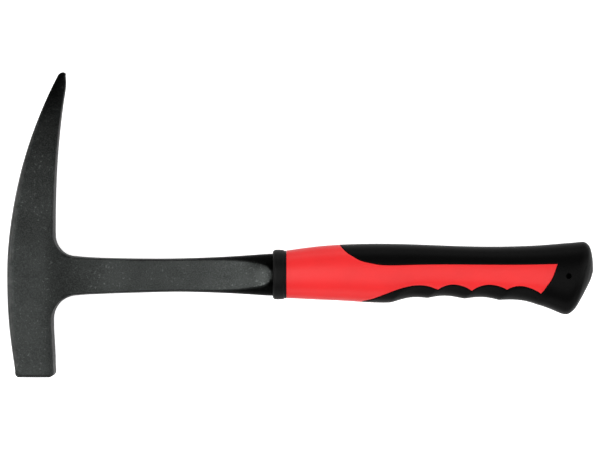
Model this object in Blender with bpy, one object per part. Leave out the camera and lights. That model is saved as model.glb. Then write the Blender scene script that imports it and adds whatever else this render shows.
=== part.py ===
"""Rock hammer with a one-piece forged head, shank and tang, and a two-shot moulded grip.

The hammer lies on its cheek. +X runs along the shank from the head to the butt, +Y towards the
tip of the pick and +Z through the thickness. The outlines are in millimetres, from a datum
where the crown of the head meets the shank's axis, halfway through the thickness. place()
turns them into metres, with the origin under the middle of the hammer.
"""

import math

import bmesh
import bpy
import numpy as np

MM = 0.001

# Driving dimensions
OVERALL_LENGTH = 330.0  # crown of the head to the end of the butt
TIP_HEIGHT = 114.2  # tip of the pick above the shank's axis
FACE_DEPTH = 57.2  # striking face below the shank's axis
HEAD_HALF_THICKNESS = 12.2
BUTT_HALF_WIDTH = 12.8
GAP = 0.3  # between two neighbouring pieces

# Head
CROWN_RADIUS = 240.0  # the long curve over the back of the head
CROWN_FLAT = (-6.0, -2.0)  # the crown is straight between these heights
PICK_INNER_X = 26.9  # inner edge of the pick where it is nearest the crown
PICK_INNER_Y = 31.0
PICK_INNER_RADIUS = 460.0
PICK_TAPER_START = 14.0  # above this height the pick gets thinner
TIP_HALF_THICKNESS = 2.3
POINT_START = 105.0  # the ground point begins here
FACE_CHAMFER = 1.9
DRAFT_OUTER = 3.4  # how far the forging's side wall leans in, at the crown
DRAFT_INNER = 1.8
CORNER = 1.4  # rounding between side wall and cheek

# Shank and tang
UPPER_FILLET = (38.6, 22.2, 11.5)  # centre x, centre y, radius
LOWER_FILLET = (39.5, -25.0, 13.5)
SHANK_END_X = 156.4
# Edges of the shank, and half of its thickness over the flats and over the full oval, by length
SHANK_UPPER = [(38, 10.6), (54, 9.5), (80, 9.1), (94, 9.1), (118, 9.9), (138, 11.1), (157, 12.0)]
SHANK_LOWER = [(38, -11.3), (54, -10.4), (80, -9.5), (94, -9.2), (118, -9.8), (138, -10.8), (157, -11.5)]
SHANK_FLAT = [(20, 11.4), (30, 10.4), (44, 7.0), (58, 5.5), (80, 5.2), (112, 5.2), (130, 6.0), (145, 7.6)]
SHANK_FLAT += [(151, 9.0), (157, 9.5)]
SHANK_OVAL = [(20, 60), (60, 18), (100, 16), (120, 11), (136, 9), (149, 8.6), (157, 8.6)]
TANG_END_X = 318.0
TANG_HALF_THICKNESS = 3.5
TANG_LOW_Y = -7.0
TANG_HIGH_Y = 10.0
ANCHOR_HOLE_RADIUS = 3.6
ANCHOR_HOLE_X = (202.0, 262.0)
ANCHOR_HOLE_Y = 1.5

# Grip
COLLAR_START_X = 149.6
COLLAR_END_X = 156.9
GRIP_START_X = COLLAR_END_X + GAP
OVERMOULD_WALL = 2.2
PIN_HOLE = (314.4, -0.3, 1.5)  # centre x, centre y, radius
RIDGE_X = (236.7, 256.9, 277.1)  # the ridges between the finger grooves
RIDGE_HEIGHT = 1.1
GRIP_UPPER = [(157, 13.6), (170, 15.5), (188, 17.0), (212, 17.4), (240, 16.5), (272, 15.7), (298, 16.4)]
GRIP_UPPER += [(310, 17.3)]
GRIP_LOWER = [(157, -12.7), (180, -13.8), (205, -15.1), (215, -15.2), (224, -12.7), (237, -12.6)]
GRIP_LOWER += [(257, -13.0), (277, -13.7), (288, -13.8), (297, -15.6), (306, -19.0)]
GRIP_HALF_WIDTH = [(157, 10.8), (175, 11.7), (205, 12.4), (240, 11.8), (280, 11.6), (306, 12.5)]
# The butt's rings lean with its sloping end: top x, top y, bottom x, bottom y, half width
BUTT_RINGS = [
    (314.0, 17.8, 311.0, -21.4, BUTT_HALF_WIDTH),
    (321.5, 18.7, 315.5, -22.2, 12.6),
    (325.6, 18.2, 318.3, -20.6, 11.4),
    (327.9, 15.0, 320.5, -16.8, 9.1),
    (329.3, 10.2, 323.6, -11.2, 5.9),
    (329.9, 5.5, 327.4, -4.8, 2.4),
]

# Hard red areas, by length: the barrel's lower rear edge, the panel's upper edge and its rear end
BARREL_REAR = [(197, -16), (205, -13.3), (213, -10.7), (221, -8.0), (228, -6.2), (233, -5.7), (237, -6.3)]
BARREL_REAR += [(241.9, -7.9)]
PANEL_TOP = [(188, 16.6), (191.5, 13.4), (195.5, 10.3), (200, 7.8), (206, 6.1), (213, 5.5), (240, 5.9)]
PANEL_TOP += [(275, 5.6), (308.4, 5.8)]
PANEL_CUSPS = [(241.9, -7.9), (260.9, -8.1), (281.2, -7.9), (299.2, -9.8)]
ARCH_RISE = 2.7  # of the panel's lower edge between two cusps
COLLAR_HALF = (14.15, -13.45, 11.5)  # top, bottom, half width

RING_POINTS = 24
CUT_DEPTH = 40.0  # cutters reach this far either side of the middle plane
COLLECTION = "rock_hammer"


def place(points):
    """World points in metres for design points in millimetres."""
    middle = (OVERALL_LENGTH / 2, (TIP_HEIGHT - FACE_DEPTH) / 2, -BUTT_HALF_WIDTH)
    return (np.asarray(points, float) - middle) * MM


def smooth_line(points, at):
    """Height at each place along a smooth curve through the points (Hermite cubics)."""
    x, y = np.array(points, float).T
    slope = np.gradient(y, x)
    i = np.clip(np.searchsorted(x, at, side="right") - 1, 0, len(x) - 2)
    width = x[i + 1] - x[i]
    t = np.clip((at - x[i]) / width, 0, 1)
    return (
        (1 + 2 * t) * (1 - t) ** 2 * y[i]
        + t * (1 - t) ** 2 * width * slope[i]
        + t**2 * (3 - 2 * t) * y[i + 1]
        - t**2 * (1 - t) * width * slope[i + 1]
    )


# ---------------------------------------------------------------- scene helpers


def clear_scene():
    for obj in list(bpy.data.objects):
        bpy.data.objects.remove(obj)


def new_collection(name):
    collection = bpy.data.collections.new(name)
    bpy.context.scene.collection.children.link(collection)
    return collection


def new_material(name, colour, roughness, metallic=0.0):
    material = bpy.data.materials.new(name)
    material.use_nodes = True
    shader = material.node_tree.nodes["Principled BSDF"]
    shader.inputs["Base Color"].default_value = (*colour, 1.0)
    shader.inputs["Roughness"].default_value = roughness
    shader.inputs["Metallic"].default_value = metallic
    return material


def as_cutter(obj):
    obj.hide_render = True
    obj.display_type = "WIRE"
    return obj


def link_mesh(name, mesh, collection, material=None):
    obj = bpy.data.objects.new(name, mesh)
    collection.objects.link(obj)
    if material:
        mesh.materials.append(material)
        mesh.shade_smooth()
        mesh.set_sharp_from_angle(angle=math.radians(35))
    else:
        as_cutter(obj)
    return obj


def loft(name, rings, collection, material=None):
    """A closed body through the rings, each with the same number of points."""
    count, size, _ = rings.shape
    index = np.arange(count * size).reshape(count, size)
    turned = np.roll(index, -1, axis=1)
    sides = np.stack([index[:-1], turned[:-1], turned[1:], index[1:]], -1).reshape(-1, 4)
    mesh = bpy.data.meshes.new(name)
    caps = [index[0][::-1].tolist(), index[-1].tolist()]
    mesh.from_pydata(place(rings.reshape(-1, 3)).tolist(), [], sides.tolist() + caps)
    body = bmesh.new()
    body.from_mesh(mesh)
    bmesh.ops.recalc_face_normals(body, faces=body.faces)
    body.to_mesh(mesh)
    body.free()
    return link_mesh(name, mesh, collection, material)


def prism(name, outline, half_depth, collection):
    """A cutter: a flat outline of (x, y) points, extruded either side of the middle plane."""
    curve = bpy.data.curves.new(name, "CURVE")
    curve.dimensions = "2D"
    curve.fill_mode = "BOTH"
    curve.extrude = half_depth * MM
    flat = np.column_stack([outline, np.zeros(len(outline))])
    world = place(flat)
    spline = curve.splines.new("POLY")
    spline.points.add(len(world) - 1)
    for point, (x, y, _) in zip(spline.points, world, strict=True):
        point.co = (x, y, 0.0, 1.0)
    spline.use_cyclic_u = True
    holder = bpy.data.objects.new(name, curve)
    collection.objects.link(holder)
    holder.location.z = world[0][2]
    return meshed(holder, collection)


def meshed(holder, collection):
    """The curve object as a cutter mesh with its caps welded on."""
    bpy.context.view_layer.update()
    graph = bpy.context.evaluated_depsgraph_get()
    mesh = bpy.data.meshes.new_from_object(holder.evaluated_get(graph))
    body = bmesh.new()
    body.from_mesh(mesh)
    bmesh.ops.remove_doubles(body, verts=body.verts, dist=1e-6)
    bmesh.ops.recalc_face_normals(body, faces=body.faces)
    body.to_mesh(mesh)
    body.free()
    name, matrix = holder.name, holder.matrix_world.copy()
    bpy.data.objects.remove(holder)
    obj = link_mesh(name, mesh, collection)
    obj.matrix_world = matrix
    return obj


def round_bar(name, centre, radius, half_length, collection):
    """A cutter: a cylinder through the thickness."""
    bpy.ops.mesh.primitive_cylinder_add(
        vertices=20,
        radius=radius * MM,
        depth=2 * half_length * MM,
        location=place((*centre,)).tolist(),
    )
    return adopt(name, collection)


def block(name, low, high, collection):
    """A cutter: a box between two corners."""
    corners = place([low, high])
    bpy.ops.mesh.primitive_cube_add(size=1, location=corners.mean(0).tolist())
    bpy.context.object.scale = (corners[1] - corners[0]).tolist()
    bpy.ops.object.transform_apply(location=False, rotation=False, scale=True)
    return adopt(name, collection)


def adopt(name, collection):
    """Names the newest primitive and moves it into the collection, as a cutter."""
    obj = bpy.context.object
    obj.name = name
    for other in obj.users_collection:
        other.objects.unlink(obj)
    collection.objects.link(obj)
    return as_cutter(obj)


def boolean(obj, other, operation):
    modifier = obj.modifiers.new(operation.lower(), "BOOLEAN")
    modifier.operation = operation
    modifier.solver = "EXACT"
    modifier.object = other
    return obj


# ---------------------------------------------------------------- forging


def crown_x(y):
    """Back edge of the head: one long arc, with a short straight at the crown."""
    away = np.maximum(0, y - CROWN_FLAT[1]) + np.minimum(0, y - CROWN_FLAT[0])
    return CROWN_RADIUS - np.sqrt(CROWN_RADIUS**2 - away**2)


def inner_x(y):
    """Inner edge of the head: the pick's long arc above, the bulging poll below."""
    pick = PICK_INNER_X + (y - PICK_INNER_Y) ** 2 / (2 * PICK_INNER_RADIUS)
    poll = smooth_line([(-57.2, 27.1), (-46.0, 27.1), (-29.0, 26.0), (-10.0, 26.0)], y)
    return np.where(y > 0, pick, poll)


def head_half_thickness(y):
    """Full over the poll and the eye, then tapering evenly to the tip of the pick."""
    share = np.clip((y - PICK_TAPER_START) / (POINT_START - PICK_TAPER_START), 0, 1)
    return HEAD_HALF_THICKNESS + (TIP_HALF_THICKNESS + 1.2 - HEAD_HALF_THICKNESS) * share


def head_ring(y, back, inner, half, trim=0.0):
    """Section at one height: walls that lean in from the parting line, then rounded corners."""
    back, inner, half = back + trim, inner - trim, half - trim
    depth = inner - back
    outer_draft = min(DRAFT_OUTER, 0.18 * depth)
    inner_draft = min(DRAFT_INNER, 0.12 * depth)
    corner = min(CORNER, 0.12 * depth)
    upper = [
        (back, 0.0),
        (back + outer_draft, half - corner),
        (back + outer_draft + corner, half),
        (inner - inner_draft - corner, half),
        (inner - inner_draft, half - corner),
        (inner, 0.0),
    ]
    lower = [(x, -z) for x, z in upper[-2:0:-1]]
    return [(x, y, z) for x, z in upper + lower]


def head_body(collection, material):
    levels = [-FACE_DEPTH + FACE_CHAMFER, -50, -40, -29, -16, -4, 8, 20, 32]
    levels += [45, 58, 70, 82, 94, POINT_START]
    rings = [
        head_ring(-FACE_DEPTH, crown_x(-56.0), inner_x(-56.0), HEAD_HALF_THICKNESS, FACE_CHAMFER)
    ]
    rings += [head_ring(y, crown_x(y), float(inner_x(y)), head_half_thickness(y)) for y in levels]
    rings.append(head_ring(112.0, 28.5, 32.5, TIP_HALF_THICKNESS))
    rings.append(head_ring(TIP_HEIGHT, 29.9, 31.9, 1.1))
    return loft("head_and_shank_forging", np.array(rings), collection, material)


def fillet_edge(x, fillet, side):
    """Edge height along a root fillet; side is +1 for the upper one and -1 for the lower."""
    centre_x, centre_y, radius = fillet
    across = np.clip(centre_x - x, 0, radius)
    return centre_y - side * np.sqrt(radius**2 - across**2)


def shank_edges(x):
    """Upper and lower edge of the shank: flared at the head, waisted, wider at the collar."""
    upper = smooth_line(SHANK_UPPER, x)
    lower = smooth_line(SHANK_LOWER, x)
    flare = x < UPPER_FILLET[0]
    upper = np.where(flare, fillet_edge(x, UPPER_FILLET, 1), upper)
    lower = np.where(flare, fillet_edge(x, LOWER_FILLET, -1), lower)
    return upper, lower


def shank_ring(x):
    """Oval section with both sides cut flat; the flats run out in a tongue at the collar."""
    angle = np.linspace(0, 2 * math.pi, RING_POINTS, endpoint=False)
    flat = smooth_line(SHANK_FLAT, x)
    z = np.clip(smooth_line(SHANK_OVAL, x) * np.sin(angle), -flat, flat)
    # The root fillets follow the lean of the head's wall, so higher up they start nearer the crown
    lean = DRAFT_INNER * np.abs(z) / (HEAD_HALF_THICKNESS - CORNER)
    upper, lower = shank_edges(x + lean)
    y = (upper + lower) / 2 + (upper - lower) / 2 * np.cos(angle)
    return np.column_stack([np.full(RING_POINTS, x), y, z])


def forging(collection, cutters, material):
    head = head_body(collection, material)
    stations = [18, 24.5, 26, 27.5, 29, 31, 34, 38, 46, 56, 72, 92, 106, 118, 128, 136, 143, 148.5]
    stations.append(SHANK_END_X)
    shank = loft("shank_bar", np.array([shank_ring(float(x)) for x in stations]), cutters)
    tang = block(
        "tang_bar",
        (SHANK_END_X - 4, TANG_LOW_Y, -TANG_HALF_THICKNESS),
        (TANG_END_X, TANG_HIGH_Y, TANG_HALF_THICKNESS),
        cutters,
    )
    boolean(head, shank, "UNION")
    boolean(head, tang, "UNION")
    for i, x in enumerate(ANCHOR_HOLE_X):
        centre = (x, ANCHOR_HOLE_Y, 0)
        hole = round_bar(f"anchor_hole_{i}", centre, ANCHOR_HOLE_RADIUS, CUT_DEPTH, cutters)
        boolean(head, hole, "DIFFERENCE")
    return head


# ---------------------------------------------------------------- grip


def finger_ridges(x):
    """Groove depth under the grip: rounded ridges between the fingers, fading at both ends."""
    pitch = RIDGE_X[1] - RIDGE_X[0]
    wave = (1 - np.cos(2 * math.pi * (x - RIDGE_X[0]) / pitch)) / 2
    return np.where((x > RIDGE_X[0]) & (x < RIDGE_X[-1]), RIDGE_HEIGHT * wave, 0.0)


def grip_edges(x):
    """Upper and lower edge of the grip up to the flare of the butt."""
    return smooth_line(GRIP_UPPER, x), smooth_line(GRIP_LOWER, x) + finger_ridges(x)


def oval_ring(top, bottom, half_width, inset=0.0, front=0.0):
    """A squarish oval between a top and a bottom point of the side outline."""
    top, bottom = np.array(top, float), np.array(bottom, float)
    half = (top - bottom) / 2
    half *= 1 - inset / np.linalg.norm(half)
    angle = np.linspace(0, 2 * math.pi, RING_POINTS, endpoint=False)
    along = np.sign(np.cos(angle)) * np.abs(np.cos(angle)) ** 0.86
    across = np.sign(np.sin(angle)) * np.abs(np.sin(angle)) ** 0.86
    flat = (top + bottom) / 2 + along[:, None] * half
    return np.column_stack([flat[:, 0] - front, flat[:, 1], across * (half_width - inset)])


def grip_rings(start, inset=0.0):
    """Rings over the whole grip. Inset shrinks the shape, for what lies under the overmould."""
    stations = [start, 163, 170, 178, 186, 195, 205, 213, 218, 222, 227, 232]
    stations += [RIDGE_X[0] + 3.367 * i for i in range(13)] + [282, 288, 294, 300, 306]
    rings = []
    for x in map(float, stations):
        upper, lower = grip_edges(x)
        half_width = float(smooth_line(GRIP_HALF_WIDTH, x))
        rings.append(oval_ring((x, upper), (x, lower), half_width, inset))
    for top_x, top_y, low_x, low_y, half_width in BUTT_RINGS:
        if half_width > inset + 1:
            rings.append(oval_ring((top_x, top_y), (low_x, low_y), half_width, inset, inset))
    return np.array(rings)


def scallop(start, end, rise):
    """Points of one arch between two cusps."""
    t = np.linspace(0, 1, 7)[:-1]
    start, end = np.array(start), np.array(end)
    return [tuple(start + (end - start) * s + (0, 4 * rise * s * (1 - s))) for s in t]


def red_outline():
    """Side outline of the hard red areas: the barrel in front and the panel behind it."""
    low_x = np.linspace(197, 240, 10)
    top_x = np.array([308.4, 290, 265, 240, 222, 213, 209, 206, 203, 200, 197.5, 195, 192.5, 190, 188])
    outline = [(140, -30), (194, -30), *zip(low_x, smooth_line(BARREL_REAR, low_x), strict=True)]
    for start, end in zip(PANEL_CUSPS, PANEL_CUSPS[1:], strict=False):
        outline += scallop(start, end, ARCH_RISE)
    outline += [PANEL_CUSPS[-1], *zip(top_x, smooth_line(PANEL_TOP, top_x), strict=True)]
    return [*outline, (185, 30), (140, 30)]


def grown(outline, by):
    """The closed outline moved outwards by that much, corner by corner."""
    points = np.array(outline, float)
    ahead = np.roll(points, -1, axis=0) - points
    behind = points - np.roll(points, 1, axis=0)
    ahead /= np.linalg.norm(ahead, axis=1)[:, None]
    behind /= np.linalg.norm(behind, axis=1)[:, None]
    normal = np.column_stack([(ahead + behind)[:, 1], -(ahead + behind)[:, 0]])
    normal /= np.linalg.norm(normal, axis=1)[:, None]
    stretch = np.clip((normal * np.column_stack([ahead[:, 1], -ahead[:, 0]])).sum(1), 0.5, 1)
    return points + normal * (by / stretch)[:, None]


def pin_hole(name, cutters):
    """Two blind holes, one each side, from outside down to the tang."""
    x, y, radius = PIN_HOLE
    for side, tag in ((1, "upper"), (-1, "lower")):
        middle = side * (TANG_HALF_THICKNESS - 1 + CUT_DEPTH / 2)
        yield round_bar(f"{name}_{tag}", (x, y, middle), radius, CUT_DEPTH / 2, cutters)


def collar_ring(x, trim):
    top, bottom, half_width = COLLAR_HALF
    return oval_ring((x, top), (x, bottom), half_width, trim)


def bore_ring(x):
    """The shank's own section at this length with the gap added all round, carried out to x."""
    ring = shank_ring(float(np.clip(x, COLLAR_START_X, 157)))
    centre = ring.mean(0)
    away = ring - centre
    away *= 1 + GAP / np.linalg.norm(away, axis=1)[:, None]
    ring = centre + away
    ring[:, 0] = x
    return ring


def front_collar(collection, cutters, material):
    """A ring slightly proud of the grip, with a rounded front corner, bored for the shank."""
    front = COLLAR_START_X
    stations = [(front, 1.5), (front + 0.5, 0.6), (front + 1.6, 0.0), (front + 4, 0.0)]
    stations.append((COLLAR_END_X, 0.35))
    rings = [collar_ring(x, trim) for x, trim in stations]
    collar = loft("front_collar", np.array(rings), collection, material)
    bore = [bore_ring(x) for x in (front - 5, front, front + 3, COLLAR_END_X + 5)]
    return boolean(collar, loft("collar_bore", np.array(bore), cutters), "DIFFERENCE")


def tang_cavity(cutters):
    """The space moulded round the tang, crossed by the plugs that fill its anchor holes."""
    cavity = block(
        "tang_cavity",
        (SHANK_END_X - 10, TANG_LOW_Y - GAP, -TANG_HALF_THICKNESS - GAP),
        (TANG_END_X + GAP, TANG_HIGH_Y + GAP, TANG_HALF_THICKNESS + GAP),
        cutters,
    )
    for i, x in enumerate(ANCHOR_HOLE_X):
        centre = (x, ANCHOR_HOLE_Y, 0)
        plug = round_bar(f"plug_{i}", centre, ANCHOR_HOLE_RADIUS - GAP, CUT_DEPTH, cutters)
        boolean(cavity, plug, "DIFFERENCE")
    return cavity


def grip_core(collection, cutters, material):
    core = loft("grip_core", grip_rings(GRIP_START_X), collection, material)
    boolean(core, prism("red_area", red_outline(), CUT_DEPTH, cutters), "INTERSECT")
    body = grip_rings(GRIP_START_X + 12, OVERMOULD_WALL)
    boolean(core, loft("core_body", body, cutters), "UNION")
    boolean(core, tang_cavity(cutters), "DIFFERENCE")
    for hole in pin_hole("core_pin_hole", cutters):
        boolean(core, hole, "DIFFERENCE")
    return core


def grip_overmould(collection, cutters, material):
    skin = loft("grip_overmould", grip_rings(GRIP_START_X), collection, material)
    red_area = prism("red_clearance", grown(red_outline(), GAP), CUT_DEPTH, cutters)
    body = loft("core_clearance", grip_rings(GRIP_START_X + 12, OVERMOULD_WALL - GAP), cutters)
    boolean(skin, red_area, "DIFFERENCE")
    boolean(skin, body, "DIFFERENCE")
    for hole in pin_hole("skin_pin_hole", cutters):
        boolean(skin, hole, "DIFFERENCE")
    return skin


def main():
    clear_scene()
    parts = new_collection(COLLECTION)
    cutters = new_collection("cutters")
    steel = new_material("painted_steel", (0.045, 0.05, 0.048), 0.45, 0.3)
    red = new_material("red_plastic", (0.9, 0.05, 0.045), 0.35)
    black = new_material("black_rubber", (0.012, 0.012, 0.012), 0.6)
    forging(parts, cutters, steel)
    front_collar(parts, cutters, black)
    grip_core(parts, cutters, red)
    grip_overmould(parts, cutters, black)


main()
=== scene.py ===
"""Rock hammer: the finished pieces, their finishes and a pale studio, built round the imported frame.

Shapes are worked out in millimetres on the hammer's own datum: x runs from the crown of the head to
the butt, y from the shank's axis towards the pick's tip, and z up from the middle of the thickness.
place() turns them into metres in the frame.
"""

import math

import bmesh
import bpy
import numpy as np
from bpy.props import FloatProperty, FloatVectorProperty, PointerProperty
from bpy.types import Operator, Panel, PropertyGroup
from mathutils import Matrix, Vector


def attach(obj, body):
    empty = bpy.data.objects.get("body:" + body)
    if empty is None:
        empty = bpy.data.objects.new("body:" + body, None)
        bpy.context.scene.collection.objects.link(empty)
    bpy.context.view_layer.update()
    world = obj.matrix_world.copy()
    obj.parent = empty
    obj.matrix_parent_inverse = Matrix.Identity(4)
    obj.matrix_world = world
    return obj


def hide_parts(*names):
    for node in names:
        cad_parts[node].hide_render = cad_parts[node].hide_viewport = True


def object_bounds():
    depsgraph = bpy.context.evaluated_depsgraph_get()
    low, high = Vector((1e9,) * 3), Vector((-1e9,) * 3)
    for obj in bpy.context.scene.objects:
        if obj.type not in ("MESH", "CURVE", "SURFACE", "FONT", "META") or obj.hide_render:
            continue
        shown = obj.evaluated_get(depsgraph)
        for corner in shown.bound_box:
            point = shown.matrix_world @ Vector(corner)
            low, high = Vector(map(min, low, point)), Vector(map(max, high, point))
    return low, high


bl_info = {
    "name": "Rock Hammer",
    "version": (1, 0, 0),
    "blender": (4, 5, 0),
    "location": "View3D > Sidebar > Hammer",
    "description": "Builds a forged rock hammer with a two-tone grip",
    "category": "Add Mesh",
}

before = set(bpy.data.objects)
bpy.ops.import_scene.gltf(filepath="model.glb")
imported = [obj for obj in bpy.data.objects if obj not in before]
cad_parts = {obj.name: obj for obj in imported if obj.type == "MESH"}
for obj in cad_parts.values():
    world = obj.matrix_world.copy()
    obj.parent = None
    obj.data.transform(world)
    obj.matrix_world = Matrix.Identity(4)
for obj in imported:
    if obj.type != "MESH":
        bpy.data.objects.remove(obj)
CAD_BOX = [[float(v) for v in corner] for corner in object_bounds()]

MM = 0.001
TIP_Y = 114.2
FACE_Y = -57.2
JUNCTION = (13.5, 0.0)
SHANK_END = 156.4
FACE_CORNER = 3.0
TANG = (318.0, -7.0, 10.0, 3.5)  # end, low edge, high edge, half thickness

# Head: its back edge, and the inner edge of the pick, as x at each height y
CROWN = [(-57.2, 5.0), (-45, 3.2), (-31, 1.4), (-17.5, 0.38), (-3, 0.02), (10.5, 0.27), (24, 1.45)]
CROWN += [(37.5, 3.4), (51, 6.05), (64.5, 9.45), (78, 13.75), (91.5, 18.9), (105, 24.9), (112, 28.4)]
PICK_INNER = [(20, 27.1), (31, 27.1), (44, 27.35), (58, 27.95), (71, 28.85), (85, 30.3), (98, 32.1)]
PICK_INNER += [(104, 33.05), (108, 33.35), (112, 33.1)]
POLL_INNER = [(-57.2, 27.0), (-50, 27.05), (-44, 26.9), (-36, 26.45), (-29, 26.1), (-22, 26.1)]
HEAD_TOP = [(-60, 12.2), (-20, 12.2), (0, 12.2), (14, 12.15), (30, 11.2), (60, 8.85), (75, 7.2)]
HEAD_TOP += [(90, 5.2), (104, 2.95), (108, 2.25), (112, 1.4), (114.2, 0.8)]

# Shank: edges, height of the flats, and half width of the full oval, by length
SHANK_UPPER = [(36, 11.15), (40, 10.65), (50, 9.95), (63, 9.55), (80, 9.35), (94, 9.4), (111, 9.85)]
SHANK_UPPER += [(124, 10.45), (138, 11.35), (148, 12), (157, 12.2)]
SHANK_LOWER = [(36, -12.03), (40, -11.43), (50, -10.78), (63, -10.28), (80, -9.78), (94, -9.48), (111, -9.73)]
SHANK_LOWER += [(124, -10.23), (138, -11.03), (148, -11.63), (157, -11.78)]
SHANK_TOP = [(0, 14.2), (16, 14.0), (23, 13.0), (30, 10.9), (38, 8.3), (46, 6.5), (54, 5.55), (63, 5.2)]
SHANK_TOP += [(80, 5.15), (100, 5.15), (112, 5.2), (124, 5.6), (131, 6.15), (137, 6.8), (143, 7.35)]
SHANK_TOP += [(146, 7.85), (148.3, 8.6), (151, 10.2), (157, 13.0)]
SHANK_OVAL = [(13, 26), (40, 20), (60, 14.5), (90, 12.2), (112, 10.6), (131, 9.3), (143, 8.75), (157, 8.55)]
UPPER_FILLET = (38.6, 22.2, 11.6)  # centre x, centre y, radius
LOWER_FILLET = (39.5, -25.0, 13.45)

# Collar and grip
COLLAR = (149.6, 156.9, 14.3, -13.75, 11.45)  # front, back, top, bottom, half width
GRIP_START = 157.2
BUTT_END = 330.0
GRIP_UPPER = [(157, 13.8), (165, 14.95), (171, 15.75), (178, 16.45), (186, 17.05), (194, 17.4), (204, 17.6)]
GRIP_UPPER += [(216, 17.58), (228, 17.3), (240, 16.85), (252, 16.4), (266, 16.05), (280, 16.05), (292, 16.4)]
GRIP_UPPER += [(300, 16.8), (308, 17.5), (312, 17.95), (316, 18.34), (319, 18.7), (321, 18.62)]
GRIP_UPPER += [(322.6, 17.55), (324.2, 15.73), (325.6, 13.31), (327, 10.6), (328.2, 8.1), (329.2, 5.4)]
GRIP_UPPER += [(330, 2.2)]
GRIP_LOWER = [(157, -12.98), (165, -13.33), (176, -13.88), (188, -14.38), (199, -15.08), (208, -15.53)]
GRIP_LOWER += [(215, -15.53), (225, -14.23), (236.7, -12.88), (257.3, -13.23), (277, -14.03), (288, -15.23)]
GRIP_LOWER += [(299, -16.83), (304, -18.34), (308, -19.64), (312, -20.95), (316, -21.95), (319, -22.15)]
GRIP_LOWER += [(321, -21.8), (322.6, -20.7), (324.2, -18.4), (325.6, -14.9), (327, -10.6), (328.2, -6.3)]
GRIP_LOWER += [(329.2, -2.2), (330, 2.2)]
GRIP_HALF = [(157, 10.75), (165, 11.2), (178, 11.85), (192, 12.3), (206, 12.4), (220, 12.25), (240, 11.8)]
GRIP_HALF += [(262, 11.55), (282, 11.7), (300, 12.25), (308, 12.55), (316, 12.75), (319, 12.7), (321, 12.45)]
GRIP_HALF += [(322.6, 11.95), (324.2, 10.95), (325.6, 9.4), (327, 7.4), (328.2, 5.1), (329.2, 2.9), (330, 0)]
# How far each ring's top and bottom stand from its station, so the butt's rings lean with its end
TOP_LEAN = [(157, 0), (260, 0), (280, 0), (292, 0), (300, 0), (304, 0.3), (308, 1.0), (312, 2.0), (316, 3.0)]
TOP_LEAN += [(319, 3.6), (321, 4.0), (322.6, 4.1), (324.2, 3.8), (325.6, 3.15), (327, 2.3), (328.2, 1.4)]
TOP_LEAN += [(329.2, 0.55), (330, -0.15)]
LOW_LEAN = [(157, 0), (260, 0), (280, 0), (292, 0), (300, 0), (304, -0.3), (308, -1.0), (312, -2.0)]
LOW_LEAN += [(316, -3.4), (319, -4.6), (321, -4.9), (322.6, -4.9), (324.2, -4.3), (325.6, -3.6), (327, -2.6)]
LOW_LEAN += [(328.2, -1.6), (329.2, -0.7), (330, -0.15)]
SQUARENESS = 0.86  # power that squares the ovals of the grip and the collar
# Painted light and shade, as a factor on the blackened steel's colour: along the head by y (darker towards
# the pick's tip), and along the shank by x (lighter along the shank, darker at its end by the collar)
HEAD_PAINTED_SHADING = [(-57, 0.98), (-30, 0.92), (0, 0.87), (42, 0.86), (70, 0.84), (81, 0.74), (93, 0.5)]
HEAD_PAINTED_SHADING += [(100, 0.29), (107, 0.14), (114, 0.1)]
SHANK_PAINTED_SHADING = [(30, 1.07), (52, 1.17), (80, 1.05), (105, 1.3), (130, 1.25), (140, 1.25), (143, 1.45)]
SHANK_PAINTED_SHADING += [(145.5, 1.3), (147.5, 0.9), (149.3, 0.4), (150.5, 0.15), (157, 0.15)]
FLANK_PAINTED_SHADE = 0.08  # painted shade on the shank's sides
# Painted shade on the tang, so that it looks dark down the pin hole
TANG_PAINTED_SHADE = 0.05
RIDGES = (215.5, 236.7, 257.3, 277.0, 299.0)  # between the finger grooves, by x
RIDGE_SLANT = 0.92

# The line between red and black, as y by length
PANEL_TOP = [(186, 19.5), (187.6, 16.8), (189.8, 14.2), (192, 12.3), (194.5, 10.75), (197, 9.2), (200, 7.95)]
PANEL_TOP += [(203.5, 7.1), (208, 6.2), (214, 5.75), (226, 5.95), (244, 6.25), (266, 6.15), (285, 6.1)]
PANEL_TOP += [(300, 6.3), (310, 6.55), (313, 6.6)]
BARREL_REAR = [(198.2, -15.6), (200.9, -14.7), (205.3, -13.6), (208.8, -12.35), (212.4, -10.95)]
BARREL_REAR += [(216.4, -9.35), (221, -7.7), (225.5, -6.55), (230, -5.95), (234, -6.1), (238, -6.9)]
BARREL_REAR += [(242.4, -8.35)]
CUSPS = [(242.4, -8.35), (261.2, -9.05), (280.9, -8.4), (299.7, -10.9)]
ARCH_RISE = 3.2
PANEL_END = [(299.7, -10.9), (301.4, -8.9), (303.3, -6.1), (305.4, -3.1), (306.8, 0.0), (308.6, 6.4)]
PANEL_END += [(309.8, 11)]
SEAM = 0.24  # between red and black
EDGE_ROUND = 0.4
SKIN = 2.2  # thickness of the black overmould
PIN_HOLE = (315.25, -0.45, 1.6)  # x, y, radius
TANG_ROOM = 0.4  # between the tang and the core
TINY_ANGLE = 1e-6


# ------------------------------------------------------------------ curves and surfaces


def curve(points, at):
    """Smooth height at each place: the cubic spline through the points, straight at both ends."""
    x, y = np.array(points, float).T
    gap, count = np.diff(x), len(x)
    middle = np.arange(1, count - 1)
    system, right = np.eye(count), np.zeros(count)
    system[middle, middle - 1] = gap[:-1]
    system[middle, middle] = 2 * (gap[:-1] + gap[1:])
    system[middle, middle + 1] = gap[1:]
    right[middle] = 6 * np.diff(np.diff(y) / gap)
    bend = np.linalg.solve(system, right)
    at = np.clip(at, x[0], x[-1])
    k = np.clip(np.searchsorted(x, at, side="right") - 1, 0, count - 2)
    after = (at - x[k]) / gap[k]
    before = 1 - after
    cubic = (before**3 - before) * bend[k] + (after**3 - after) * bend[k + 1]
    return before * y[k] + after * y[k + 1] + cubic * gap[k] ** 2 / 6


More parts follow.
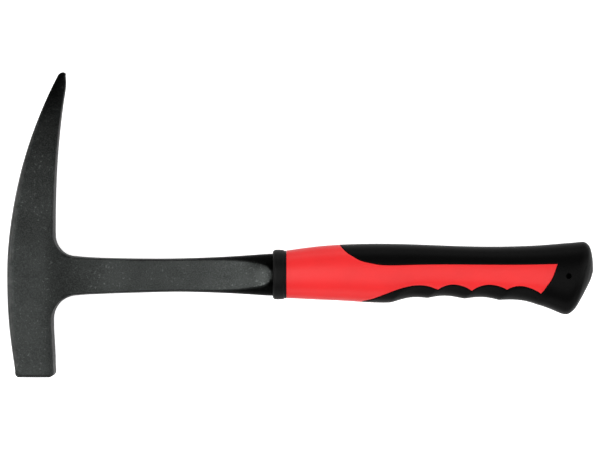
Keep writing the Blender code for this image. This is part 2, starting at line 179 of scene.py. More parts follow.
def smooth_min(a, b, reach):
    """The lower of two heights, with the crossing rounded over the reach."""
    blend = np.clip(0.5 + (b - a) / (2 * reach), 0, 1)
    return b + (a - b) * blend - reach * blend * (1 - blend)


def ease(value, start, end):
    """0 before start and 1 after end, with a smooth rise between."""
    t = np.clip((value - start) / (end - start), 0, 1)
    return t * t * (3 - 2 * t)


def squared(value, power=SQUARENESS):
    """A sine or cosine raised to a power with its sign kept, which makes an oval squarer."""
    return np.sign(value) * np.abs(value) ** power


def place(points):
    """Frame points in metres for datum points in millimetres."""
    low, high = np.array(CAD_BOX)
    datum = np.array([low[0], high[1] - TIP_Y * MM, (low[2] + high[2]) / 2])
    return datum + np.asarray(points, float) * MM


def grid_quads(rows, columns, first=0):
    """Corner numbers of the quads of a grid of points numbered along its columns."""
    index = first + np.arange(rows * columns).reshape(rows, columns)
    return np.stack([index[:-1, :-1], index[1:, :-1], index[1:, 1:], index[:-1, 1:]], -1).reshape(-1, 4)


def ring_quads(count, size, first=0):
    """Corner numbers of the quads between closed rings of the same size."""
    index = first + np.arange(count * size).reshape(count, size)
    turned = np.roll(index, -1, axis=1)
    return np.stack([index[:-1], turned[:-1], turned[1:], index[1:]], -1).reshape(-1, 4)


def make_piece(name, points, quads, material, layers=(), sharp=40.0):
    """A mesh object from datum points and quads, its doubles merged and its faces outwards."""
    mesh = bpy.data.meshes.new(name)
    mesh.from_pydata(place(points), [], quads.tolist())
    for label, values in layers:
        mesh.attributes.new(label, "FLOAT", "POINT").data.foreach_set("value", values.astype(np.float32))
    work = bmesh.new()
    work.from_mesh(mesh)
    bmesh.ops.remove_doubles(work, verts=work.verts, dist=2e-6)
    bmesh.ops.dissolve_degenerate(work, edges=work.edges, dist=1e-7)
    bmesh.ops.recalc_face_normals(work, faces=work.faces)
    work.to_mesh(mesh)
    work.free()
    mesh.shade_smooth()
    mesh.set_sharp_from_angle(angle=math.radians(sharp))
    mesh.materials.append(material)
    piece = bpy.data.objects.new(name, mesh)
    bpy.context.scene.collection.objects.link(piece)
    return piece


# ------------------------------------------------------------------ forging


def fillet(fillet_circle, side, share):
    """Points along a root fillet, from the shank (0) to the head (1): a quarter of a circle."""
    x, y, radius = fillet_circle
    angle = share * math.pi / 2
    return np.column_stack([x - radius * np.sin(angle), y - side * radius * np.cos(angle)])


def head_spine(y):
    """The head's middle line: halfway between its back and inner edges."""
    inner = np.where(y > 0, curve(PICK_INNER, np.maximum(y, 24)), curve(POLL_INNER, np.minimum(y, -24)))
    return (curve(CROWN, y) + inner) / 2


def shank_middle(x):
    """Height of the shank's middle line."""
    return (curve(SHANK_UPPER, x) + curve(SHANK_LOWER, x)) / 2


def forging_top(x, y):
    """Height of the upper surface: the head's cheek, sinking into the neck and the shank's flats."""
    return smooth_min(curve(HEAD_TOP, y), curve(SHANK_TOP, x), 1.6)


class Columns:
    """Ribs across the forging, each from a point of its outline to a point of its middle line."""

    def __init__(self):
        self.outline, self.spine, self.kind = [], [], []

    def add(self, outline, spine, kind):
        """kind holds five columns: shank share, lean of the wall, corner across, corner down, flatness."""
        count = len(outline)
        self.outline.append(outline)
        self.spine.append(np.broadcast_to(spine, (count, 2)))
        self.kind.append(np.broadcast_to(kind, (count, 5)))

    def arrays(self):
        return np.concatenate(self.outline), np.concatenate(self.spine), np.concatenate(self.kind)


def shank_share(x):
    """How far a rib is shaped as shank: 0 on the head, 1 along the shank."""
    return ease(x, 15.0, 42.0)


def forging_columns():
    """The outline walked once round, anticlockwise from the tang's end.

    On each stretch both ends of the ribs follow formulas: along the shank they stand square to it, round
    the root fillets they fan between the shank's middle line and the head's, and along the head they
    lie level. Round the tip, the striking face and the tang's end they fan from one point.
    """
    ribs = Columns()
    end, low, high, _ = TANG
    tang_x = np.array([end - 2, 300, 260, 220, 180, SHANK_END + 0.02])
    shank_x = np.concatenate([np.linspace(SHANK_END, 120, 84), np.linspace(119.2, 40, 100)])
    inner_x = np.linspace(39.2, JUNCTION[0], 34)
    pick_y = np.linspace(0.8, 112.2, 150)
    poll_y = np.linspace(-0.8, -45, 60)
    tang_kind = np.array([2.0, 0.0, 0.5, 0.5, 0.0])
    inner_kind = np.array([0.0, 0.3, 0.8, 0.95, 0.0])
    outer_kind = np.array([0.0, 1.2, 4.2, 2.6, 0.0])
    tip_kind = np.array([0.0, 0.2, 0.7, 0.6, 0.0])
    face_kind = np.array([0.0, 0.02, 1.25, 1.25, 0.75])
    heel_kind = np.array([0.0, 0.9, 1.5, 1.5, 0.75])

    def shank_kind(x):
        kind = np.tile(inner_kind, (len(x), 1))
        kind[:, 0] = shank_share(x)
        return kind

    def side(branch_y, circle, edge, sign, edges_x):
        """Shank edge, root fillet and inner edge of the head, for the ribs of two branches."""
        tang_edge = high if sign > 0 else low
        ribs_out = [np.column_stack([tang_x, np.full(len(tang_x), tang_edge)])]
        ribs_in = [np.column_stack([tang_x, np.full(len(tang_x), shank_middle(SHANK_END))])]
        kinds = [np.tile(tang_kind, (len(tang_x), 1))]
        edge_x = shank_x - (39.65 - circle[0]) * (1 - ease(shank_x, 40, 60))
        ribs_out.append(np.column_stack([edge_x, curve(edges_x, edge_x)]))
        ribs_in.append(np.column_stack([shank_x, shank_middle(shank_x)]))
        kinds.append(shank_kind(shank_x))
        near = np.abs(branch_y) <= abs(circle[1]) - 0.4
        spine = np.concatenate(
            [
                np.column_stack([inner_x, shank_middle(inner_x) * ease(inner_x, JUNCTION[0], 30)]),
                np.column_stack([head_spine(branch_y[near]), branch_y[near]]),
            ]
        )
        walked = np.concatenate([[0.8], np.linalg.norm(np.diff(spine, axis=0), axis=1)]).cumsum()
        share = walked / (walked[-1] + 0.8)
        root = fillet(circle, sign, share)
        start_x = circle[0] + 0.35
        start = np.array([start_x, float(curve(edges_x, start_x))]) - fillet(circle, sign, np.zeros(1))[0]
        finish_y = branch_y[near][-1] + sign * 0.8
        finish = np.array([float(curve(edge, finish_y)), finish_y]) - fillet(circle, sign, np.ones(1))[0]
        root = root + start * (1 - ease(share, 0, 1))[:, None] + finish * ease(share, 0, 1)[:, None]
        ribs_out.append(root)
        ribs_in.append(spine)
        kinds.append(np.concatenate([shank_kind(inner_x), np.tile(inner_kind, (near.sum(), 1))]))
        far_y = branch_y[~near]
        ribs_out.append(np.column_stack([curve(edge, far_y), far_y]))
        ribs_in.append(np.column_stack([head_spine(far_y), far_y]))
        kinds.append(np.tile(inner_kind, (len(far_y), 1)))
        return np.concatenate(ribs_out), np.concatenate(ribs_in), np.concatenate(kinds)

    # Shank's upper edge and the pick's inner edge
    outline, spine, kind = side(pick_y, UPPER_FILLET, PICK_INNER, 1, SHANK_UPPER)
    ribs.add(outline, spine, mixed(kind, tip_kind, ease(spine[:, 1], 45, 100)))
    # Round the tip, an arc between the two edges
    tip = np.array([float(head_spine(pick_y[-1])), pick_y[-1]])
    right = np.array([float(curve(PICK_INNER, 112)), 112.2])
    left = np.array([float(curve(CROWN, 112)) + 0.1, 112.2])
    turn = np.linspace(0, math.pi, 26)[1:-1]
    centre, half = (right + left) / 2, (right[0] - left[0]) / 2
    arc_x = centre[0] + half * np.cos(turn)
    arc = np.column_stack([arc_x, centre[1] + (TIP_Y - centre[1]) * np.sin(turn)])
    arc[:, 0] += 0.75 * np.sin(turn)
    ribs.add(arc, tip, tip_kind)
    # Back edge, from the tip to the poll
    back_y = np.concatenate([pick_y[::-1], [0.0], poll_y])
    outline = np.column_stack([curve(CROWN, back_y), back_y])
    spine = np.column_stack([head_spine(back_y), back_y])
    spine[len(pick_y), 0] = JUNCTION[0]
    kind = mixed(np.tile(outer_kind, (len(back_y), 1)), tip_kind, ease(back_y, 40, 108))
    ribs.add(outline, spine, kind)
    # Striking face, with rounded corners
    heel = np.array([float(head_spine(poll_y[-1])), poll_y[-1]])
    edge_y = np.linspace(-45.7, FACE_Y + FACE_CORNER, 14)
    corner = np.linspace(0, math.pi / 2, 10)[1:-1]
    corner_y = FACE_Y + FACE_CORNER
    left_x, right_x = float(curve(CROWN, corner_y)), float(curve(POLL_INNER, corner_y))
    down = np.column_stack([curve(CROWN, edge_y), edge_y])
    ribs.add(down, heel, mixed(np.tile(outer_kind, (14, 1)), heel_kind, ease(-edge_y, 50, 54.6)))
    left_corner = [left_x + FACE_CORNER * (1 - np.cos(corner)), FACE_Y + FACE_CORNER * (1 - np.sin(corner))]
    turned = np.linspace(0, 1, len(corner))
    ribs.add(np.column_stack(left_corner), heel, mixed(np.tile(heel_kind, (8, 1)), face_kind, turned))
    level = np.linspace(left_x + FACE_CORNER, right_x - FACE_CORNER, 22)
    ribs.add(np.column_stack([level, np.full(22, FACE_Y)]), heel, face_kind)
    right_corner = [right_x - FACE_CORNER * (1 - np.sin(corner)), FACE_Y + FACE_CORNER * (1 - np.cos(corner))]
    ribs.add(np.column_stack(right_corner), heel, face_kind)
    up = np.column_stack([curve(POLL_INNER, edge_y[::-1]), edge_y[::-1]])
    ribs.add(up, heel, mixed(np.tile(inner_kind, (14, 1)), face_kind, ease(-edge_y[::-1], 50, 54.6)))
    # Poll's inner edge and the shank's lower edge, walked the other way
    outline, spine, kind = side(poll_y, LOWER_FILLET, POLL_INNER, -1, SHANK_LOWER)
    ribs.add(outline[::-1], spine[::-1], kind[::-1])
    # End of the tang
    end_y = np.array([low, low + 0.01, high - 0.01, high])
    end_x = np.array([end - 0.01, end, end, end - 0.01])
    ribs.add(np.column_stack([end_x, end_y]), (end - 2, shank_middle(SHANK_END)), tang_kind)
    return ribs.arrays()


def mixed(kind, other, share):
    """Kinds blended towards another kind by each rib's share."""
    return kind + (other - kind) * share[:, None]


def forging_surface():
    """Points of the whole forging.

    Each rib climbs a leaning wall and a corner (a quarter of an ellipse on the head, part of the oval on
    the shank), then crosses the upper surface to the middle line. The lower half mirrors the upper.
    """
    outline, spine, kind = forging_columns()
    ahead = np.roll(outline, -1, axis=0) - np.roll(outline, 1, axis=0)
    inward = np.column_stack([-ahead[:, 1], ahead[:, 0]])
    inward /= np.linalg.norm(inward, axis=1)[:, None]
    across = spine - outline
    width = np.linalg.norm(across, axis=1)
    square = np.clip((inward * across).sum(1) / width, 0.45, 1)
    share, lean, corner_in, corner_down, flatness = kind.T
    tang = share > 1.5
    share = np.where(tang, 0, share)
    corner_in = np.minimum(corner_in, 0.3 * width)
    lean = np.minimum(lean, 0.1 * width)

    wall_rows, corner_rows, deck_rows = 6, 12, 22
    up = np.linspace(0, 1, wall_rows)[:, None]
    turn = np.linspace(0, math.pi / 2, corner_rows + 1)[1:, None]
    bow_in = (1 - np.cos(turn)) + flatness * (turn / (math.pi / 2) - 1 + np.cos(turn))
    bow_up = np.sin(turn) + flatness * (turn / (math.pi / 2) - np.sin(turn))

    full = np.minimum(width, lean / square + corner_in / square + 0.01)
    rim = outline + across * (full / width)[:, None]
    height = np.where(tang, TANG[3], forging_top(rim[:, 0], rim[:, 1]))
    corner_down = np.minimum(corner_down, 0.6 * height)
    head_in = np.concatenate([lean * up, lean + corner_in * bow_in]) / square
    head_up = np.concatenate([(height - corner_down) * up, height - corner_down * (1 - bow_up)])

    oval = curve(SHANK_OVAL, spine[:, 0])
    reach = np.arcsin(np.clip(height / oval, 0, 0.985))
    steps = np.linspace(0, 1, wall_rows + corner_rows)[:, None] ** 0.85
    shank_in = width * (1 - np.cos(reach * steps))
    side_in = head_in + (shank_in - head_in) * share
    deck = np.linspace(0, 1, deck_rows + 1)[1:, None]
    inner = np.concatenate([side_in, side_in[-1] + (width - side_in[-1]) * deck])
    points = outline + across * (inner / width)[..., None]

    top = np.where(tang, TANG[3], forging_top(points[..., 0], points[..., 1]))
    ahead_of = np.clip(1 - inner / width, 0, 1)
    oval_up = smooth_min(oval * np.sqrt(1 - ahead_of**2), top, 0.35)
    oval_up[0] = 0
    head_full = np.concatenate([head_up, top[len(side_in):]])
    rise = head_full + (oval_up - head_full) * share
    wear_rows = np.concatenate([0.25 * up[:, 0] ** 2, np.sin(turn[:, 0] * 2) ** 0.5, 0 * deck[:, 0]])
    wear = np.broadcast_to(wear_rows[:, None], rise.shape) * (1 - 0.8 * share)
    wear = np.maximum(wear, np.broadcast_to(ease(spine[:, 1], 104, 114), rise.shape) * 0.35)
    wear = np.maximum(wear, np.broadcast_to(0.5 * (flatness > 0.7), rise.shape) * (rise < height - 0.5))
    # The finish attribute carries painted light and shade: a factor on the steel's colour by place, from the
    # tables above
    finish = curve(HEAD_PAINTED_SHADING, points[..., 1])
    shank_painted_shading = curve(SHANK_PAINTED_SHADING, np.maximum(points[..., 0], 30))
    finish = finish + (shank_painted_shading - finish) * ease(points[..., 0], 26, 44)
    # Painted shade on the shank's sides, fading out towards the flats
    rows_of = np.arange(len(rise))[:, None] / len(side_in)
    flank_shade = (1 - ease(rows_of, 0.8, 1.0)) * ease(spine[:, 0], 50, 112)
    # Painted shade on the upper half of the tongue by the collar
    tongue_shade = ease(points[..., 0], 133, 143) * ease(points[..., 1], 0.5, 7.5)
    finish = finish * (1 - 0.75 * tongue_shade)
    finish = finish + (FLANK_PAINTED_SHADE - finish) * flank_shade
    # Painted shade on the tang
    finish = np.where(tang, TANG_PAINTED_SHADE, finish)
    return np.dstack([points, rise]), wear, finish


def build_forging(material):
    """The head, shank and tang as one closed mesh, with its wear and its painted light and shade (the finish
    attribute).
    """
    upper, wear, finish = forging_surface()
    rows, count, _ = upper.shape
    closed = np.concatenate([upper, upper[:, :1]], axis=1)
    lower = closed * (1, 1, -1)
    points = np.concatenate([closed.reshape(-1, 3), lower.reshape(-1, 3)])
    top_quads = grid_quads(rows, count + 1)
    low_quads = grid_quads(rows, count + 1, rows * (count + 1))[:, ::-1]
    layers = []
    for label, values in (("wear", wear), ("finish", finish)):
        half = np.concatenate([values, values[:, :1]], axis=1).ravel()
        layers.append((label, np.concatenate([half, half])))
    return make_piece(
        "forged_head_and_shank", points, np.concatenate([top_quads, low_quads]), material, layers, 55.0
    )


# ------------------------------------------------------------------ grip


def grip_ring(station, angle):
    """Points of the grip's outer surface.

    Each ring is a squarish oval between a top and a bottom point, across a half width. All three follow
    smooth curves along the grip, and the butt's rings lean. The finger grooves are arches of a sine,
    scooped out of the underside, whose ridges slant up each side.
    """
    top = np.stack([station + curve(TOP_LEAN, station), curve(GRIP_UPPER, station)], -1)
    bottom = np.stack([station + curve(LOW_LEAN, station), curve(GRIP_LOWER, station)], -1)
    half = np.maximum(curve(GRIP_HALF, station), 0)
    along = squared(np.cos(angle))
    side = np.abs(np.sin(angle)) ** SQUARENESS
    flat = (top + bottom) / 2 + along[..., None] * (top - bottom) / 2
    scoop = groove_depth(flat[..., 0], flat[..., 1], bottom[..., 1])
    flat[..., 1] += scoop * (0.35 + 0.65 * ease(-along, 0.2, 0.9))
    return np.concatenate([flat, (side * half - 0.5 * scoop * side)[..., None]], -1)


def groove_depth(x, y, low):
    """Depth of the finger grooves: one rounded sine arch between each two ridges."""
    ridges = np.array(RIDGES)
    shifted = x - RIDGE_SLANT * (y - low)
    k = np.clip(np.searchsorted(ridges, shifted, side="right") - 1, 0, len(ridges) - 2)
    share = np.clip((shifted - ridges[k]) / (ridges[k + 1] - ridges[k]), 0, 1)
    arch = np.sqrt(np.sin(math.pi * share) ** 2 + 0.014) - math.sqrt(0.014)
    depth = np.where(k == 0, 1.45, np.where(k == 3, 1.3, 1.25))
    reach = ease(y, 0.25 * low, 0.75 * low)
    return depth * arch * reach


def panel_low(x):
    """Lower edge of the red: the barrel's rear edge, three arches, then the slanting end."""
    front = curve(BARREL_REAR, x)
    cusps = np.array(CUSPS)
    k = np.clip(np.searchsorted(cusps[:, 0], x, side="right") - 1, 0, len(cusps) - 2)
    share = np.clip((x - cusps[k, 0]) / (cusps[k + 1, 0] - cusps[k, 0]), 0, 1)
    chord = cusps[k, 1] + (cusps[k + 1, 1] - cusps[k, 1]) * share
    arches = chord + ARCH_RISE * np.sin(math.pi * share**0.9) ** 0.9
    low = np.where(x < CUSPS[0][0], front, arches)
    low = np.where(x > CUSPS[-1][0], curve(PANEL_END, x), low)
    return np.where(x < BARREL_REAR[0][0], -40.0, low)


def panel_top(x):
    """Upper edge of the red, out of reach ahead of the barrel's rear edge."""
    return np.where(x < PANEL_TOP[0][0], 40.0, curve(PANEL_TOP, x))


def seam_slope(edge, x):
    """How much further apart up and down two lines lie than square to each other."""
    return np.minimum(np.hypot(1, (edge(x + 0.05) - edge(x - 0.05)) / 0.1), 2.6)


def ring_angle(station, y):
    """Angle at which a ring passes a height: the squarish oval's formula turned round."""
    top, bottom = curve(GRIP_UPPER, station), curve(GRIP_LOWER, station)
    along = np.clip((y - (top + bottom) / 2) / ((top - bottom) / 2), -1, 1)
    return np.arccos(squared(along, 1 / SQUARENESS))


def seam_angles(station, shift):
    """Angles of the upper and lower seam on each ring, moved apart by the shift."""
    upper = ring_angle(station, panel_top(station) + shift * seam_slope(panel_top, station))
    lower = ring_angle(station, panel_low(station) - shift * seam_slope(panel_low, station))
    upper = np.where(station > PANEL_END[-1][0], 1.2, upper)
    lower = np.where(station > PANEL_END[-1][0], 1.2, lower)
    crossed = upper >= lower
    join = (upper + lower) / 2
    if crossed.any():
        first = np.argmax(crossed)
        join = np.where(station > station[first], join[first], join)
    return np.where(crossed, join, upper), np.where(crossed, join, lower), crossed


def seam_distance(points, station):
    """How far each point of a ring lies from the nearer seam, square to it."""
    y = points[..., 1]
    to_top = np.abs(y - panel_top(station)) / seam_slope(panel_top, station)
    to_low = np.abs(y - panel_low(station)) / seam_slope(panel_low, station)
    return np.minimum(to_top, to_low)


def surface_normal(station, angle):
    """Outward direction of the grip's surface, from the points just before and after each point."""
    step = 0.02
    ahead = grip_ring(station + step, angle) - grip_ring(station - step, angle)
    round_it = grip_ring(station, angle + step) - grip_ring(station, angle - step)
    normal = np.cross(round_it, ahead)
    length = np.linalg.norm(normal, axis=-1, keepdims=True)
    return normal / np.maximum(length, 1e-9)


def sunk(station, angle, depth):
    """The outer surface moved inwards, without passing the ring's middle."""
    points = grip_ring(station, angle)
    normal = surface_normal(station, angle)
    normal[..., 2] = np.where(np.sin(angle) < 1e-3, 0, normal[..., 2])
    moved = points - normal * np.asarray(depth)[..., None]
    moved[..., 2] = np.maximum(moved[..., 2], 0)
    return moved


def rounded_edge(distance):
    """Depth of the rounded edge beside a seam: a quarter of a circle."""
    inside = np.clip(EDGE_ROUND - distance, 0, EDGE_ROUND)
    return EDGE_ROUND - np.sqrt(EDGE_ROUND**2 - inside**2)


def grip_stations(start):
    """Places of the rings along the grip, closer together at the seams' corners and at the butt."""
    marks = [GRIP_START, 186.5, 188.2, 198.2, 202, 232, 242.4, 261.2, 280.9, 299.7, 304, 308.4, 309.4]
    marks += [319, 329.2]
    steps = [56, 12, 16, 14, 60, 24, 42, 42, 40, 16, 20, 8, 26, 40]
    runs = [np.linspace(a, b, n, endpoint=False) for a, b, n in zip(marks, marks[1:], steps, strict=False)]
    runs.insert(0, GRIP_START + 0.4 * np.linspace(0, 1, 6, endpoint=False) ** 1.6)
    runs[1] = runs[1][1:]
    places = np.concatenate([*runs, BUTT_END - 0.8 * np.linspace(1, 0, 8) ** 2])
    return places[places >= start]


def both_sides(upper):
    """The grid and its mirror image, as points and quads."""
    rows, columns, _ = upper.shape
    points = np.concatenate([upper.reshape(-1, 3), (upper * (1, 1, -1)).reshape(-1, 3)])
    quads = grid_quads(rows, columns)
    return points, np.concatenate([quads, quads[:, ::-1] + rows * columns])


def join(parts):
    """Several sets of points and quads as one."""
    points, quads, first = [], [], 0
    for part_points, part_quads in parts:
        points.append(part_points)
        quads.append(part_quads + first)
        first += len(part_points)
    return np.concatenate(points), np.concatenate(quads)


def build_grip_core(material):
    """The red core: the outer surface where red shows, and lower under the black.

    Across each ring run the floor under the spine strip, a wall, the red panel, a wall and the floor under
    the finger strip. Inside is the tang's cavity, an oblong prism.
    """
    station = grip_stations(0)[:, None]
    upper, lower, crossed = seam_angles(station[:, 0], -SEAM / 2)
    upper, lower = upper[:, None], lower[:, None]
    tail = np.maximum(EDGE_ROUND, SKIN) * np.ones_like(station)
    floor_depth = np.where(upper > TINY_ANGLE, tail, 0)
    low_depth = np.where(lower < math.pi - TINY_ANGLE, tail, 0)
    shrink = np.clip(curve(GRIP_HALF, station) / 4.0, 0, 1)
    floors = np.linspace(0, 1, 9)[None]
    red = (1 - np.cos(np.linspace(0, math.pi, 49)))[None] / 2
    red_angle = upper + (lower - upper) * red
    red_points = grip_ring(station, red_angle)
    showing = np.where((upper > TINY_ANGLE) | (lower < math.pi - TINY_ANGLE), 1, 0)
    edge = rounded_edge(seam_distance(red_points, station) - SEAM / 2) * showing
    edge = np.where(crossed[:, None], SKIN, edge)
    front_edge = 0.35 - np.sqrt(0.35**2 - np.clip(0.35 - (station - GRIP_START), 0, 0.35) ** 2)
    rows = np.concatenate(
        [
            sunk(station, upper * floors, floor_depth * shrink + 0 * floors),
            sunk(station, red_angle, edge * shrink),
            sunk(station, lower + (math.pi - lower) * floors, low_depth * shrink + 0 * floors),
        ],
        axis=1,
    )
    rows[..., 1:] *= 1 - (front_edge / 13.0)[..., None]
    outer = both_sides(rows)
    end, low, high, half = TANG
    count = rows.shape[1]
    angle = np.linspace(0, math.pi, count)
    along, across = squared(np.cos(angle), 0.35), np.abs(np.sin(angle)) ** 0.35
    y, z = (low + high) / 2 + along * ((high - low) / 2 + TANG_ROOM), across * (half + TANG_ROOM)
    places = np.array([GRIP_START, 200, 260, end + TANG_ROOM])
    cavity = np.stack([np.broadcast_to(v, (4, count)) for v in (places[:, None], y, z)], -1)
    closed = np.concatenate([cavity, cavity[-1:] * (1, 1, 0)])
    inner_points, inner_quads = both_sides(closed)
    front_points, front_quads = both_sides(np.stack([rows[0], cavity[0]]))
    points, quads = join([outer, (inner_points, inner_quads[:, ::-1]), (front_points, front_quads)])
    return make_piece("red_grip_core", points, quads, material, sharp=45.0)


def build_overmould(material):
    """The black overmould: a skin over the spine, the butt and the underside.

    It thins to nothing at its outline on the mid-plane.
    """
    station = grip_stations(185.0)
    upper, lower, crossed = seam_angles(station, SEAM / 2)
    rim = 1 - np.linspace(1, 0, 27) ** 2
    parts = []
    for first_angle, last_angle, share, far in (
        (np.zeros_like(upper), upper, rim, upper > TINY_ANGLE),
        (lower, np.full_like(lower, math.pi), 1 - rim[::-1], lower < math.pi - TINY_ANGLE),
    ):
        begin = max(int(np.argmax(far)) - 1, 0)
        use = slice(begin, None)
        place_on = station[use, None]
        angle = first_angle[use, None] + (last_angle - first_angle)[use, None] * share[None]
        points = grip_ring(place_on, angle)
        edge = rounded_edge(seam_distance(points, place_on) - SEAM / 2)
        edge = np.where(crossed[use, None], 0, edge)
        shrink = np.clip(curve(GRIP_HALF, place_on) / 4.0, 0, 1)
        outside = sunk(place_on, angle, edge * shrink)
        inside = sunk(place_on, angle, (SKIN - 0.15) * shrink + 0.9 * (1 - shrink) + 0 * angle)
        parts.append(both_sides(outside))
        inner_points, inner_quads = both_sides(inside)
        parts.append((inner_points, inner_quads[:, ::-1]))
        row = -1 if share[0] == 0 and share is rim else 0
        open_here = ~crossed[use]
        last = int(np.argmin(open_here)) + 1 if (~open_here).any() else len(open_here)
        wall = np.stack([outside[:last, row], inside[:last, row]], axis=1)
        parts.append(both_sides(wall))
    points, quads = join(parts)
    return make_piece("black_grip_overmould", points, quads, material, sharp=45.0)


def drill(piece, wider=0.0):
    """Bores the small locating hole right through the butt, wider by the given millimetres."""
    x, y, radius = PIN_HOLE
    radius += wider
    centre = place((x, y, 0))
    work = bmesh.new()
    bmesh.ops.create_cone(
        work, cap_ends=True, segments=40, radius1=radius * MM, radius2=radius * MM, depth=0.06
    )
    for vertex in work.verts:
        vertex.co.x += centre[0]
        vertex.co.y += centre[1]
        vertex.co.z += centre[2]
    mesh = bpy.data.meshes.new("hole")
    work.to_mesh(mesh)
    work.free()
    drill_bit = bpy.data.objects.new("hole", mesh)
    bpy.context.scene.collection.objects.link(drill_bit)
    cut = piece.modifiers.new("hole", "BOOLEAN")
    cut.operation = "DIFFERENCE"
    cut.solver = "EXACT"
    cut.object = drill_bit
    graph = bpy.context.evaluated_depsgraph_get()
    result = bpy.data.meshes.new_from_object(piece.evaluated_get(graph))
    piece.modifiers.clear()
    piece.data = result
    result.set_sharp_from_angle(angle=math.radians(45))
    bpy.data.objects.remove(drill_bit)


def build_collar(material):
    """The collar: a profile with rounded corners carried round between the shank's oval and the outside."""
    front, back, top, bottom, half = COLLAR
    around = 192
    angle = np.linspace(0, 2 * math.pi, around, endpoint=False)
    along, side = squared(np.cos(angle)), squared(np.sin(angle))
    outer = np.column_stack([(top + bottom) / 2 + along * (top - bottom) / 2, side * half])
    upper, lower = float(curve(SHANK_UPPER, 153)), float(curve(SHANK_LOWER, 153))
    bore = np.column_stack(
        [(upper + lower) / 2 + np.cos(angle) * ((upper - lower) / 2 + 0.2), np.sin(angle) * (8.55 + 0.2)]
    )
    # The profile as place along the hammer and depth under the outside, in millimetres
    corner = np.linspace(0, math.pi / 2, 9)
    front_x = front + 1.9 * (1 - np.sin(corner))
    front_deep = 1.5 * (1 - np.cos(corner))
    rear = np.linspace(0, math.pi / 2, 7)[:-1]
    rear_x = back - 0.95 - 1.1 * (1 - np.sin(rear))
    rear_deep = 0.1 + 0.5 * (1 - np.cos(rear))
    x = np.concatenate([front_x[::-1], [front + 3.4], rear_x, [back - 0.93, back + 0.25]])
    deep = np.concatenate([front_deep[::-1], [-0.02], rear_deep, [0.62, 0.66]])
    inwards = bore - outer
    room = np.linalg.norm(inwards, axis=1)
    skin = outer[None] + inwards[None] * (deep[:, None, None] / room[None, :, None])
    skin = np.concatenate([bore[None], bore[None] * 0.5 + skin[:1] * 0.5, skin, bore[None]])
    x = np.concatenate([[front + 0.25, front + 0.03], x, [back + 0.25]])
    rings = np.concatenate([np.broadcast_to(x[:, None, None], (len(x), around, 1)), skin], -1)
    rings = np.concatenate([rings, rings[:1]])
    quads = ring_quads(len(rings), around)
    return make_piece("collar_ring", rings.reshape(-1, 3), quads, material, sharp=60.0)


# ------------------------------------------------------------------ shader groups


def group(name, inputs, outputs):
    """An empty shader node group with named inputs and outputs."""
    tree = bpy.data.node_groups.new(name, "ShaderNodeTree")
    for label, kind, value in inputs:
        tree.interface.new_socket(label, in_out="INPUT", socket_type=kind).default_value = value
    for label, kind in outputs:
        tree.interface.new_socket(label, in_out="OUTPUT", socket_type=kind)
    return tree, tree.nodes.new("NodeGroupInput"), tree.nodes.new("NodeGroupOutput")


def math_node(tree, operation, a, b=None, c=None, clamp=False):
    """The result of one Math node, fed by numbers or sockets."""
    node = tree.nodes.new("ShaderNodeMath")
    node.operation = operation
    node.use_clamp = clamp
    for socket, value in zip(node.inputs, (a, b, c), strict=False):
        if value is None:
            continue
        if isinstance(value, (int, float)):
            socket.default_value = value
        else:
            tree.links.new(value, socket)
    return node.outputs[0]


def noise(tree, vector, scale, detail=3.0, roughness=0.55):
    """A noise value from 0 to 1."""
    node = tree.nodes.new("ShaderNodeTexNoise")
    if isinstance(scale, (int, float)):
        node.inputs["Scale"].default_value = scale
    else:
        tree.links.new(scale, node.inputs["Scale"])
    node.inputs["Detail"].default_value = detail
    node.inputs["Roughness"].default_value = roughness
    tree.links.new(vector, node.inputs["Vector"])
    return node.outputs["Fac"]


def ramp(tree, value, low, high):
    """A value spread so that low becomes 0 and high becomes 1, smoothly."""
    node = tree.nodes.new("ShaderNodeMapRange")
    node.interpolation_type = "SMOOTHSTEP"
    node.inputs["From Min"].default_value = low
    node.inputs["From Max"].default_value = high
    tree.links.new(value, node.inputs["Value"])
    return node.outputs["Result"]


def mix_colour(tree, share, a, b):
    """Two colours mixed by a share; each is a tuple or a socket."""
    node = tree.nodes.new("ShaderNodeMix")
    node.data_type = "RGBA"
    tree.links.new(share, node.inputs["Factor"])
    for socket, value in ((node.inputs["A"], a), (node.inputs["B"], b)):
        if isinstance(value, tuple):
            socket.default_value = (*value, 1.0)
        else:
            tree.links.new(value, socket)
    return node.outputs["Result"]


def grain_group():
    """Fine and coarse unevenness of a cast, blasted or moulded surface, as a mask and a height."""
    tree, source, sink = group(
        "surface_grain",
        [("Grain Size", "NodeSocketFloat", 900.0), ("Blotch Size", "NodeSocketFloat", 60.0)],
        [("Grain", "NodeSocketFloat"), ("Blotch", "NodeSocketFloat"), ("Pits", "NodeSocketFloat")],
    )
    where = tree.nodes.new("ShaderNodeTexCoord").outputs["Object"]
    fine = noise(tree, where, source.outputs["Grain Size"], 4.0, 0.62)
    wide = noise(tree, where, source.outputs["Blotch Size"], 3.0, 0.5)
    half_size = math_node(tree, "MULTIPLY", source.outputs["Grain Size"], 0.45)
    pits = ramp(tree, noise(tree, where, half_size, 2.0, 0.5), 0.58, 0.74)
    tree.links.new(fine, sink.inputs["Grain"])
    tree.links.new(wide, sink.inputs["Blotch"])
    tree.links.new(pits, sink.inputs["Pits"])
    return tree


